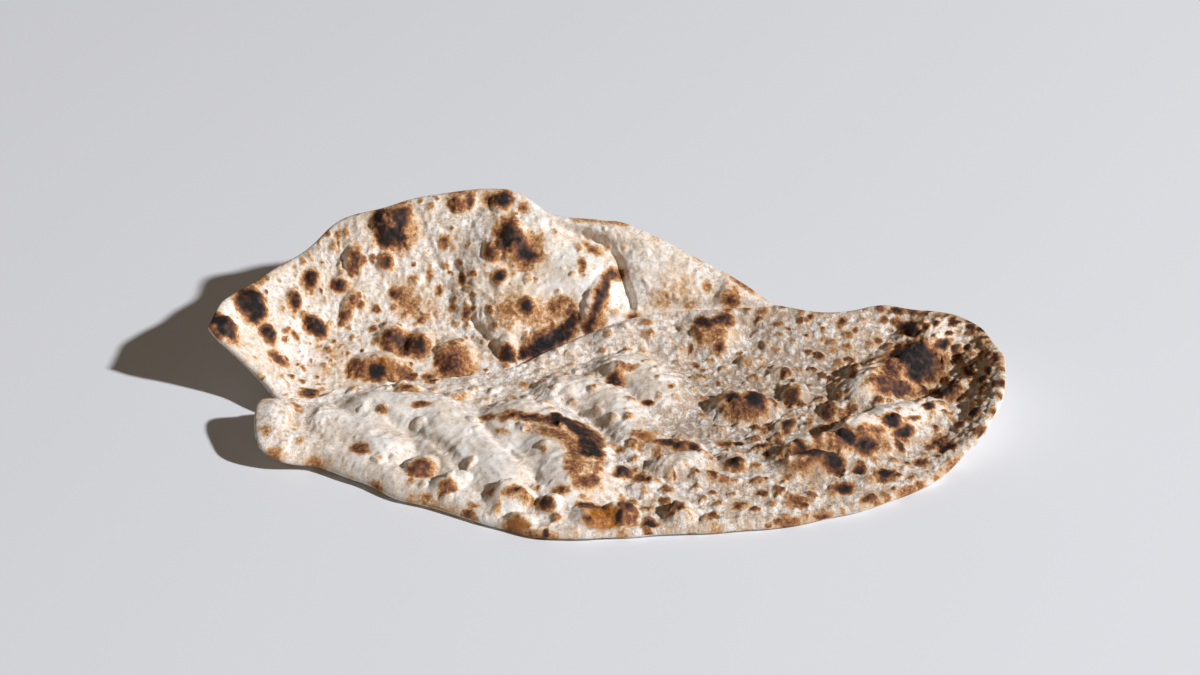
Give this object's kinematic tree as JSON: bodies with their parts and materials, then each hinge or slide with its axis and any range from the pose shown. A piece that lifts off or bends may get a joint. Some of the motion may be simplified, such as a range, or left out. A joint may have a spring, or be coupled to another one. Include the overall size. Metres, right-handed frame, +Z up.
{
  "type": "tandoori roti",
  "caption": "Round blistered flatbread cut across, its two halves shingled and sagging into a shallow curve, with scorched bubbles on a pale floury crust.",
  "frame": {"origin": "middle of the bread's outline seen from above, at the height of the surface it rests on", "axes": "+X to the right along the bread's long side, +Y towards the raised back half, +Z up"},
  "size_m": [0.301, 0.1636, 0.0528],
  "materials": {
    "back_half_crust": "matte floury bread crust, cream with toasted tan, brown and black blister tops",
    "front_half_crust": "matte floury bread crust, pale cream with toasted tan, brown and black blister tops"
  },
  "bodies": {
    "root": {"roti_back_half": "back_half_crust", "roti_front_half": "front_half_crust"}
  },
  "joints": []
}
